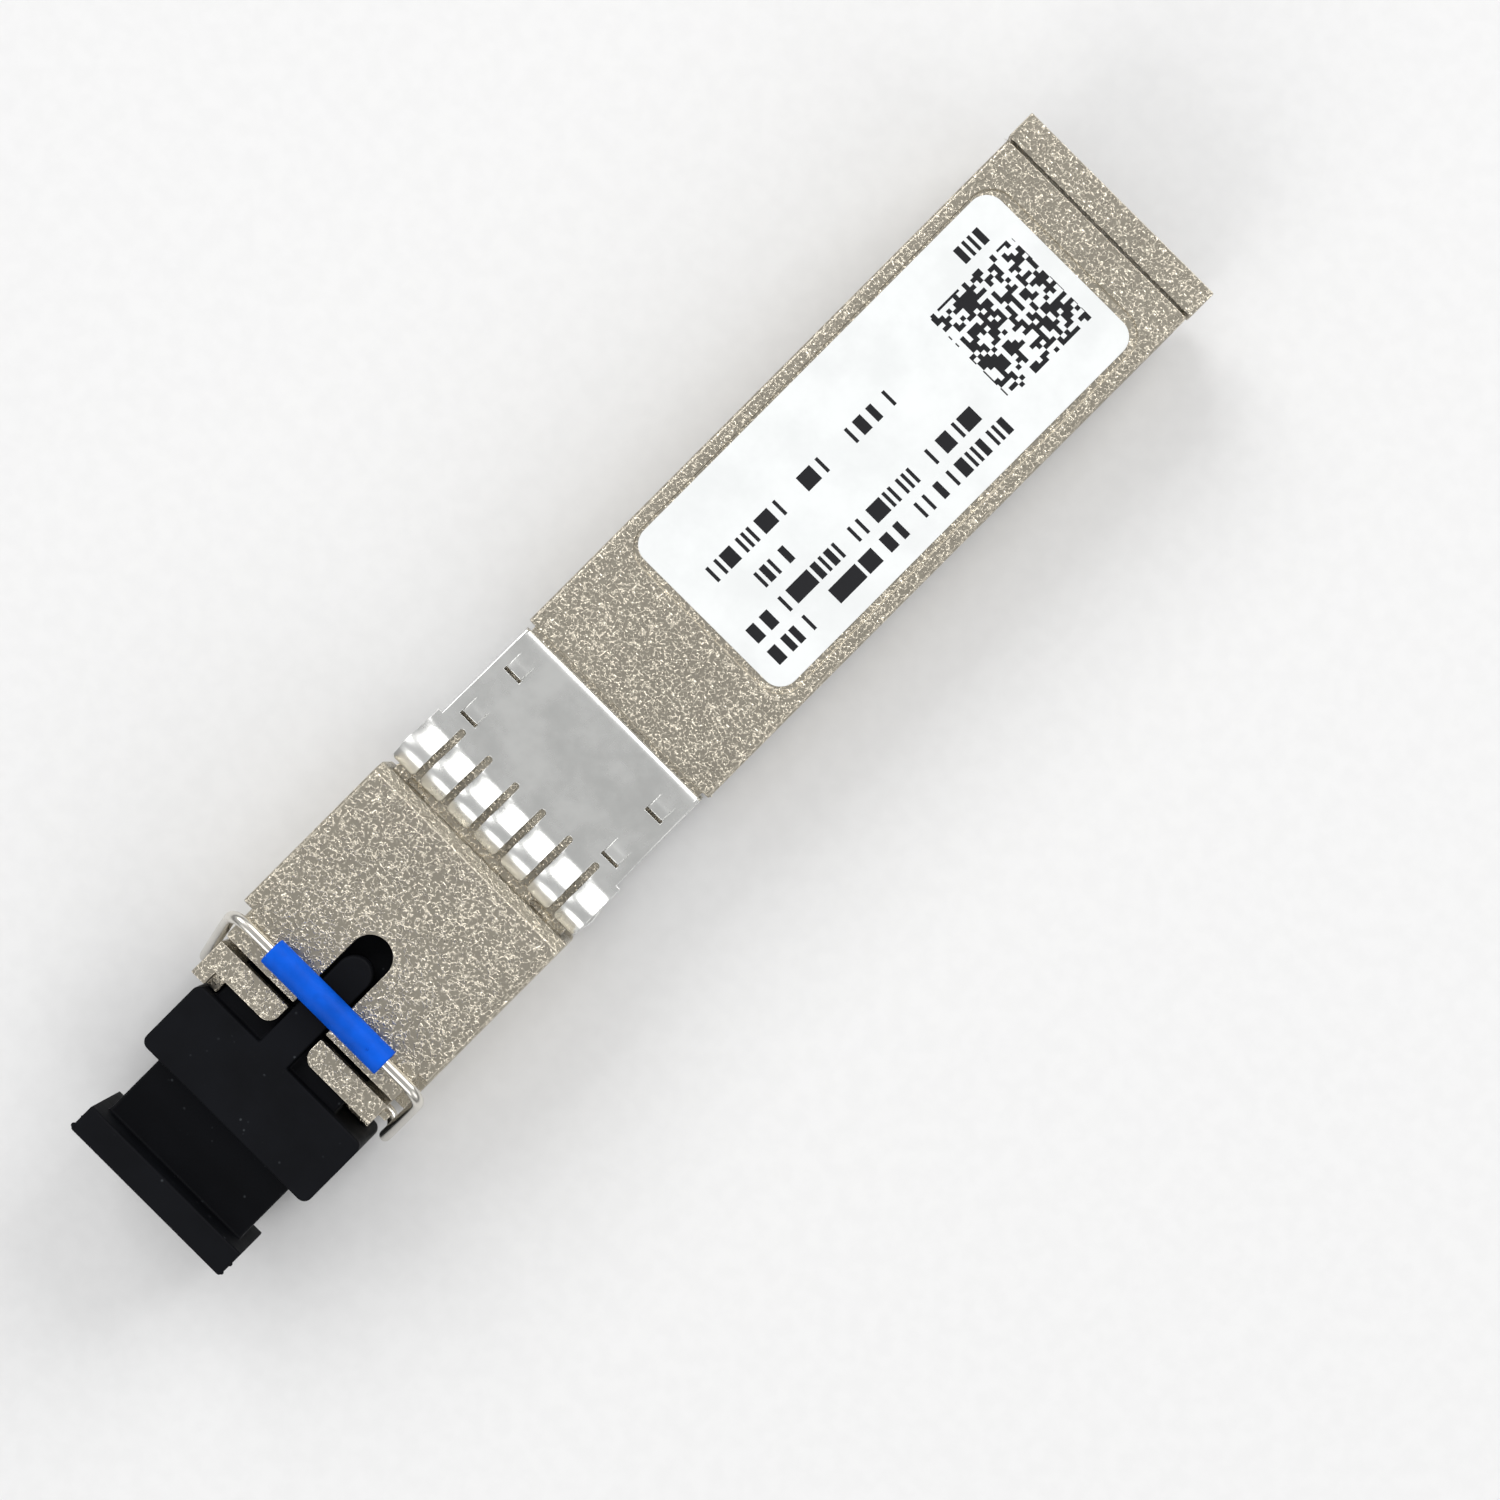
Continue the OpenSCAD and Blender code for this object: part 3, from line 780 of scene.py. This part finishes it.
@dataclass(frozen=True)
class BoardLaminate(Finish):
    """Green mask over copper traces, bare laminate at the card edge and on the cut sides."""

    laminate: Point = (0.42, 0.3, 0.12)
    trace: Point = (0.025, 0.22, 0.1)
    via: Point = (0.1, 0.42, 0.24)
    mask_end: float = 30.2
    pitch: float = 0.8
    lane_shift: float = 100.0
    trace_edge: tuple[float, float] = (0.12, 0.16)
    runs_from: float = 26.5
    runs_spread: float = 3.0
    island_scale: float = 0.5
    island_edge: tuple[float, float] = (0.42, 0.46)
    via_scale: float = 0.75
    via_radius: float = 0.17
    via_width: float = 0.06
    weave_scale: float = 5200.0
    level_normal: float = 0.9
    bare_roughness: float = 0.6

    def build(self) -> bpy.types.Material:
        """Build the board from its traces, mask edge and cut sides.

        Returns:
            The material.
        """
        material, graph, shader = self.shader()
        split = graph.add("ShaderNodeSeparateXYZ")
        base = graph.place((1 / MM, 1 / MM, 1 / MM))
        graph.wire(base, split.inputs[0])
        across, along = split.outputs["X"], split.outputs["Y"]
        lane_place = graph.math("DIVIDE", across, self.pitch)
        lane = graph.math("FRACT", graph.math("ADD", lane_place, self.lane_shift))
        line = graph.remap(graph.math("ABSOLUTE", graph.math("SUBTRACT", lane, 0.5)), *self.trace_edge)
        lane_number = graph.math("FLOOR", lane_place)
        draw = graph.add("ShaderNodeTexWhiteNoise", noise_dimensions="1D")
        graph.wire(lane_number, draw.inputs["W"])
        lane_draw = draw.outputs["Value"]
        region = graph.remap(graph.noise(base, self.island_scale, detail=1.0), *self.island_edge)
        start = graph.math("MULTIPLY_ADD", lane_draw, self.runs_spread, self.runs_from)
        runs = graph.math("GREATER_THAN", along, start)
        inboard = graph.math("LESS_THAN", along, self.runs_from)
        copper = graph.math("MAXIMUM", graph.math("MULTIPLY", line, runs),
                            graph.math("MULTIPLY", region, inboard))
        green = graph.blend(copper, (*self.colour, 1.0), (*self.trace, 1.0))
        spots = graph.add("ShaderNodeTexVoronoi", feature="F1", voronoi_dimensions="2D")
        graph.wire(base, spots.inputs["Vector"])
        graph.wire(self.via_scale, spots.inputs["Scale"])
        ring = graph.math("ABSOLUTE", graph.math("SUBTRACT", spots.outputs["Distance"], self.via_radius))
        green = graph.blend(graph.math("LESS_THAN", ring, self.via_width), green, (*self.via, 1.0))
        weave = graph.noise(graph.place(), self.weave_scale, detail=2.0)
        bare = scaled(graph, self.laminate, graph.vary(weave, 0.8, 1.15))
        normal = graph.add("ShaderNodeNewGeometry")
        facing = graph.add("ShaderNodeSeparateXYZ")
        graph.wire(normal.outputs["Normal"], facing.inputs[0])
        side = graph.math("LESS_THAN", graph.math("ABSOLUTE", facing.outputs["Z"]), self.level_normal)
        open_end = graph.math("MAXIMUM", side, graph.math("GREATER_THAN", along, self.mask_end))
        graph.wire(graph.blend(open_end, green, bare), shader.inputs["Base Color"])
        rough = graph.remap(open_end, 0.0, 1.0, self.roughness, self.bare_roughness)
        graph.wire(rough, shader.inputs["Roughness"])
        self.raise_surface(graph, shader, graph.math("ADD", copper, weave))
        return material


FINISHES: dict[str, Finish] = {
    # The castings' fleck value lightens the peel's crests in colour, partly as a painted highlight.
    "shell_metal": CastMetal("cast_nickel", (0.412, 0.376, 0.308), 0.36, bump=0.85, grain=4300.0, fleck_and_highlight=1.1),
    "cover_metal": CastMetal("satin_nickel", (0.53, 0.49, 0.41), 0.38, bump=0.2, grain=5200.0, fleck_and_highlight=0.15),
    "screw_steel": SheetMetal("screw_nickel", (0.52, 0.49, 0.42), 0.33, bump=0.3),
    "spring_steel": Finish("spring_sheet", (0.8, 0.8, 0.775), 0.27, metallic=1.0, bump=0.025),
    "wire_steel": Finish("drawn_wire", (0.68, 0.655, 0.6), 0.25, metallic=1.0, bump=0.06),
    "sleeve_blue": DustyPolymer("blue_tube", (0.0, 0.085, 0.57), 0.5, bump=0.15, dust=0.12,
                                dust_colour=(0.4, 0.55, 0.9), specular=0.12),
    "plug_rubber": DustyPolymer("black_rubber", (0.004, 0.0044, 0.0058), 0.62, bump=0.3, dust=0.35,
                                dust_colour=(0.1, 0.11, 0.12), specular=0.08),
    "label_film": PrintedFilm("label_film", (0.8, 0.815, 0.81), 0.5, bump=0.05, specular=0.25),
    "board_green": BoardLaminate("board_laminate", (0.012, 0.13, 0.06), 0.3, bump=0.3),
    "contact_gold": SheetMetal("contact_gold", (0.85, 0.6, 0.22), 0.26, bump=0.2),
    "chip_black": DustyPolymer("chip_mould", (0.02, 0.02, 0.022), 0.55, bump=0.3, dust=0.1),
    "capacitor_tan": Finish("capacitor_ceramic", (0.42, 0.3, 0.18), 0.5, bump=0.2),
    "inductor_grey": Finish("pressed_ferrite", (0.08, 0.08, 0.09), 0.6, bump=0.4),
    "can_gold": SheetMetal("gold_can", (0.85, 0.62, 0.28), 0.25, bump=0.2),
    "crystal_metal": SheetMetal("crystal_lid", (0.6, 0.58, 0.54), 0.3, bump=0.2),
    "pad_grey": Finish("filled_silicone", (0.36, 0.44, 0.55), 0.75, bump=0.4),
    "optic_steel": SheetMetal("turned_steel", (0.55, 0.53, 0.48), 0.3, bump=0.3),
    "zirconia": Finish("white_ceramic", (0.85, 0.85, 0.8), 0.2, bump=0.05),
    "flex_amber": Finish("polyimide", (0.5, 0.2, 0.02), 0.35, bump=0.1),
    "insert_plastic": DustyPolymer("insert_plastic", (0.02, 0.02, 0.022), 0.5, bump=0.2, dust=0.1),
}


class Wardrobe:
    """Every finish by its slot, built once when first asked for."""

    def __init__(self) -> None:
        """Start with nothing built."""
        self.built: dict[str, bpy.types.Material] = {}

    def get(self, slot: str) -> bpy.types.Material:
        """Return the material of a slot.

        Args:
            slot: The slot's name.

        Returns:
            Its material.
        """
        if slot not in self.built:
            self.built[slot] = FINISHES[slot].build()
        return self.built[slot]


# ---------------------------------------------------------------- sub-assemblies


@dataclass
class SubAssembly:
    """Shared means of the sub-assemblies."""

    wardrobe: Wardrobe

    def dress(self, piece: bpy.types.Object, body: str, slot: str, *replaced: str) -> None:
        """Give a piece its slot's finish and tie it to its body."""
        place(piece, body, self.wardrobe.get(slot), replaced)

    def rounded_node(self, node: str, name: str, body: str, slot: str, width: float, segments: int = 2
                     ) -> bpy.types.Object:
        """Copy a CAD node, round its edges and dress it in the node's place.

        Args:
            node: The CAD node to stand for.
            name: Name of the piece.
            body: The CAD body that it rides on.
            slot: Its material slot.
            width: Width of the rounding, in metres.
            segments: Steps across the rounding.

        Returns:
            The finished piece.
        """
        piece = cad_copy(node, name)
        round_edges(piece, width, segments)
        smooth(piece)
        self.dress(piece, body, slot, node)
        return piece


@dataclass
class Housing(SubAssembly):
    """The two cast shells, the cover plate with its screws, and the label."""

    shell_round: float = 0.07 * MM
    outer_round: float = 0.22 * MM
    cover_round: float = 0.06 * MM
    long_edge: float = 3 * MM
    outer_x: float = 6.1 * MM
    outer_levels: tuple[float, float] = (9.3 * MM, 0.8 * MM)

    def soften_outer_edges(self, piece: bpy.types.Object) -> None:
        """Bevel the long outer edges of a shell wider than its other edges.

        Args:
            piece: The copied shell.
        """
        levels = (Vector(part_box("top_shell")[1]).z, *self.outer_levels)

        def is_long_outer(a: Vector, b: Vector) -> bool:
            """Tell whether an edge runs lengthwise along an outer corner.

            Args:
                a: The edge's first end.
                b: Its other end.

            Returns:
                True for such an edge.
            """
            along = abs(a.y - b.y) > self.long_edge and abs(a.x - b.x) < NEAR and abs(a.z - b.z) < NEAR
            outside = abs(a.x) > self.outer_x
            return along and outside and any(abs(a.z - level) < NEAR for level in levels)

        if pick_edges(piece, is_long_outer):
            bpy.ops.mesh.bevel(offset=self.outer_round, segments=4, affect="EDGES", clamp_overlap=True)
        leave_edit()

    def shell(self, node: str) -> None:
        """Finish one cast shell.

        Args:
            node: The shell's CAD node.
        """
        piece = cad_copy(node, node + "_casting")
        self.soften_outer_edges(piece)
        round_edges(piece, self.shell_round)
        smooth(piece)
        self.dress(piece, "housing", "shell_metal", node)

    def build(self) -> None:
        """Build and dress the housing's pieces."""
        self.shell("bottom_shell")
        self.shell("top_shell")
        self.rounded_node("cover_plate", "cover_plate_pressing", "housing", "cover_metal", self.cover_round)
        self.rounded_node("cover_screws", "cover_screws_set", "housing", "screw_steel", 0.05 * MM)
        self.rounded_node("label", "label_sticker", "housing", "label_film", 0.03 * MM)
        self.rounded_node("locating_pin", "locating_pin_turned", "housing", "optic_steel", 0.08 * MM)


@dataclass
class SpringCollar(SubAssembly):
    """The sprung sheet collar with its fingers."""

    bend: float = 0.34 * MM
    sheet_top: float = 9.1 * MM
    side_x: float = 6.45 * MM
    long_edge: float = 1 * MM
    sheet_round: float = 0.035 * MM

    def build(self) -> None:
        """Round the collar's bends, then the edges of its sheet."""
        piece = cad_copy("emi_clip", "spring_collar")

        def is_top_bend(a: Vector, b: Vector) -> bool:
            """Tell whether an edge is one of the two long bends from the top to a side.

            Args:
                a: The edge's first end.
                b: Its other end.

            Returns:
                True for such an edge.
            """
            flat = max(abs(a.z - self.sheet_top), abs(b.z - self.sheet_top)) < 2 * NEAR
            return flat and min(abs(a.x), abs(b.x)) > self.side_x and abs(a.y - b.y) > self.long_edge

        if pick_edges(piece, is_top_bend):
            bpy.ops.mesh.bevel(offset=self.bend, segments=4, affect="EDGES", clamp_overlap=True)
        leave_edit()
        round_edges(piece, self.sheet_round, angle=30.0)
        smooth(piece, 50.0)
        self.dress(piece, "housing", "spring_steel", "emi_clip")


@dataclass
class Bail(SubAssembly):
    """The wire bail, its coloured sleeve, and the slider that it pushes."""

    bore_share: float = 0.48
    bore_depth: float = 0.5 * MM
    rim_round: float = 0.09 * MM
    point_radius: float = 0.07 * MM
    point_share: float = 0.36

    def wire(self) -> None:
        """Subdivide and smooth the bail's wire."""
        piece = cad_copy("bail_wire", "bail_wire_drawn")
        activate(piece)
        subdivide = piece.modifiers.new("smooth", "SUBSURF")
        subdivide.levels = 1
        subdivide.render_levels = 1
        bpy.ops.object.modifier_apply(modifier=subdivide.name)
        smooth(piece, 60.0)
        self.dress(piece, "bail", "wire_steel", "bail_wire")

    def sleeve(self) -> None:
        """Model the sleeve: a rod hollowed at both ends, with soft rims and a moulding point."""
        low, high = (Vector(corner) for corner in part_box("bail_sleeve"))
        middle = (low + high) / 2
        radius = (high.z - low.z) / 2
        piece = add_rod("bail_sleeve_tube", middle, radius, high.x - low.x, Axis.X, 64)
        pick_faces(piece, lambda face: abs(face.normal.x) > 0.9)
        bpy.ops.mesh.inset(thickness=radius * self.bore_share)
        bpy.ops.mesh.extrude_region_shrink_fatten(TRANSFORM_OT_shrink_fatten={"value": -self.bore_depth})
        leave_edit()
        round_edges(piece, self.rim_round, 3)
        smooth(piece, 50.0)
        self.dress(piece, "bail", "sleeve_blue", "bail_sleeve")
        at = middle + Vector((self.point_share * (high.x - low.x), 0.0, radius))
        deselect()
        bpy.ops.mesh.primitive_uv_sphere_add(segments=16, ring_count=8, radius=self.point_radius,
                                             location=at)
        point = settle(bpy.context.object, "sleeve_moulding_point")
        smooth(point, 180.0)
        self.dress(point, "bail", "sleeve_blue")

    def build(self) -> None:
        """Build the bail and the slider."""
        self.wire()
        self.sleeve()
        self.rounded_node("release_slider", "release_slider_pressing", "slider", "spring_steel", 0.04 * MM)


@dataclass
class DustPlug(SubAssembly):
    """The rubber plug in the port."""

    round_width: float = 0.16 * MM
    bar_middle: float = 0.65 * MM
    bar_half: float = 5.5 * MM
    bar_top: float = 10.0 * MM
    flash_lumps: int = 3
    flash_size: float = 0.16 * MM
    flash_mean: float = 0.55
    flash_swing: float = 0.45
    flash_turn: float = 2.3
    flash_start: float = 0.25
    flash_step: float = 0.32
    flash_drop: float = 0.1 * MM

    def build(self) -> None:
        """Round the plug's moulded edges and add its flash."""
        piece = cad_copy("dust_plug", "dust_plug_moulding")
        round_edges(piece, self.round_width, 3)
        smooth(piece, 50.0)
        self.dress(piece, "plug", "plug_rubber", "dust_plug")
        self.flash()

    def flash(self) -> None:
        """Add the ragged moulding flash at two corners of the end bar."""
        low = Vector(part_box("dust_plug")[0])
        bar_x = (self.bar_middle - self.bar_half, self.bar_middle + self.bar_half)
        for side, x in enumerate(bar_x):
            for step in range(self.flash_lumps):
                wave = math.cos(self.flash_turn * step + side)
                size = self.flash_size * (self.flash_mean + self.flash_swing * wave)
                back = (self.flash_start + self.flash_step * step) * MM
                at = (x, low.y + back, self.bar_top - self.flash_drop)
                deselect()
                bpy.ops.mesh.primitive_ico_sphere_add(subdivisions=2, radius=size, location=at)
                lump = settle(bpy.context.object, f"plug_flash_{side}_{step}")
                smooth(lump, 60.0)
                self.dress(lump, "plug", "plug_rubber")


@dataclass
class Board(SubAssembly):
    """The circuit board with its contacts and components."""

    chips: tuple[str, ...] = ("laser_driver", "controller_chip", "amplifier_chip")
    pad_place: tuple[float, float] = (-3.66 * MM, 28.07 * MM)
    pad_radius: float = 0.5 * MM
    pad_height: float = 0.05 * MM

    def build(self) -> None:
        """Finish the board and what is soldered to it."""
        self.rounded_node("circuit_board", "board_laminate", "housing", "board_green", 0.03 * MM)
        for node in ("contacts_bottom", "contacts_top"):
            self.rounded_node(node, node + "_plated", "housing", "contact_gold", 0.01 * MM)
        for node in self.chips:
            self.rounded_node(node, node + "_package", "housing", "chip_black", 0.08 * MM)
        self.rounded_node("chip_capacitors", "capacitor_set", "housing", "capacitor_tan", 0.04 * MM)
        self.rounded_node("power_inductors", "inductor_pair", "housing", "inductor_grey", 0.1 * MM)
        self.rounded_node("crystal", "crystal_can", "housing", "crystal_metal", 0.08 * MM)
        self.rounded_node("thermal_pad", "thermal_pad_cut", "housing", "pad_grey", 0.1 * MM)
        self.test_pad()

    def test_pad(self) -> None:
        """Lay the round test pad on the board's underside, beside the contacts."""
        low = Vector(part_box("circuit_board")[0])
        x, y = self.pad_place
        pad = add_rod("test_pad", (x, y, low.z), self.pad_radius, self.pad_height, Axis.Z)
        smooth(pad)
        self.dress(pad, "housing", "contact_gold")


@dataclass
class Optics(SubAssembly):
    """The optical parts behind the port."""

    parts: tuple[tuple[str, str], ...] = (
        ("optical_body", "optic_steel"), ("ferrule_barrel", "optic_steel"), ("ferrule_sleeve", "zirconia"),
        ("fibre_stub", "zirconia"), ("laser_can", "can_gold"), ("detector_can", "can_gold"),
        ("laser_flex", "flex_amber"), ("detector_flex", "flex_amber"), ("port_insert", "insert_plastic"))

    def build(self) -> None:
        """Round and dress each optical part."""
        for node, slot in self.parts:
            self.rounded_node(node, node + "_part", "housing", slot, 0.03 * MM)


# ---------------------------------------------------------------- studio


@dataclass
class Studio:
    """The pale floor, the soft lights and the camera straight above."""

    target: Point = (6.45 * MM, 2.5 * MM, 9.5 * MM)
    turn: float = math.radians(44.9)
    distance: float = 180.5 * MM
    lens: float = 81.9
    floor_size: float = 1.6
    floor_grain: float = 900.0
    floor_colour: Point = (0.78, 0.778, 0.775)
    air_colour: tuple[float, float, float, float] = (0.985, 0.99, 1.0, 1.0)
    air: float = 0.54
    low_air: float = 0.1
    steep: float = 0.6
    lamp_width: float = 0.6

    def floor(self) -> None:
        """Lay the pale floor under the module."""
        deselect()
        bpy.ops.mesh.primitive_plane_add(size=self.floor_size, location=(0, 0, 0))
        floor = settle(bpy.context.object, "studio_floor")
        material = bpy.data.materials.new("floor_card")
        material.use_nodes = True
        graph = Graph(material.node_tree)
        shader = material.node_tree.nodes["Principled BSDF"]
        shader.inputs["Specular IOR Level"].default_value = 0.2
        tone = graph.vary(graph.noise(graph.place(), self.floor_grain, detail=3.0), 0.985, 1.01)
        graph.wire(scaled(graph, self.floor_colour, tone), shader.inputs["Base Color"])
        shader.inputs["Roughness"].default_value = 0.7
        floor.data.materials.append(material)

    def lamp(self, name: str, at: Point, power: float) -> None:
        """Hang a square soft light that faces the module.

        Args:
            name: Name of the light.
            at: Its place, in metres.
            power: Its power, in watts.
        """
        bpy.ops.object.light_add(type="AREA", location=at)
        light = bpy.context.object
        light.name = name
        light.data.shape = "SQUARE"
        light.data.size = self.lamp_width
        light.data.energy = power
        light.rotation_euler = Vector(at).to_track_quat("Z", "Y").to_euler()

    def sky(self) -> None:
        """Give the room a plain pale light."""
        world = bpy.data.worlds.new("studio_air")
        world.use_nodes = True
        graph = Graph(world.node_tree)
        background = world.node_tree.nodes["Background"]
        background.inputs["Color"].default_value = self.air_colour
        split = graph.add("ShaderNodeSeparateXYZ")
        graph.wire(graph.add("ShaderNodeTexCoord").outputs["Generated"], split.inputs[0])
        steepness = graph.math("ABSOLUTE", split.outputs["Z"])
        strength = graph.remap(steepness, 0.0, self.steep, self.low_air, self.air)
        graph.wire(strength, background.inputs["Strength"])
        bpy.context.scene.world = world
        bpy.context.scene.view_settings.view_transform = "Standard"

    def camera(self) -> None:
        """Set the camera straight above, turned so that the module lies along the diagonal."""
        x, y, z = self.target
        bpy.ops.object.camera_add(location=(x, y, z + self.distance), rotation=(0, 0, self.turn))
        camera = bpy.context.object
        camera.name = "studio_camera"
        camera.data.lens = self.lens
        camera.data.clip_start = 0.01
        bpy.context.scene.camera = camera

    def build(self) -> None:
        """Set up the studio."""
        deselect()
        self.camera()
        self.floor()
        self.sky()
        self.lamp("key_soft", (-0.68, 0.2, 0.76), 4.2)
        self.lamp("rear_soft", (0.08, 0.9, 0.62), 5.4)
        self.lamp("front_fill", (0.1, -0.9, 0.66), 3.0)
        self.lamp("side_fill", (0.84, 0.0, 0.72), 1.6)


def main() -> None:
    """Build the studio and the module's sub-assemblies in order."""
    logging.basicConfig(level=logging.INFO, format="%(name)s: %(message)s")
    Studio().build()
    build_effects()
    wardrobe = Wardrobe()
    for kind in (Housing, SpringCollar, Bail, DustPlug, Board, Optics):
        kind(wardrobe).build()
    deselect()


if __name__ == "__main__":
    main()
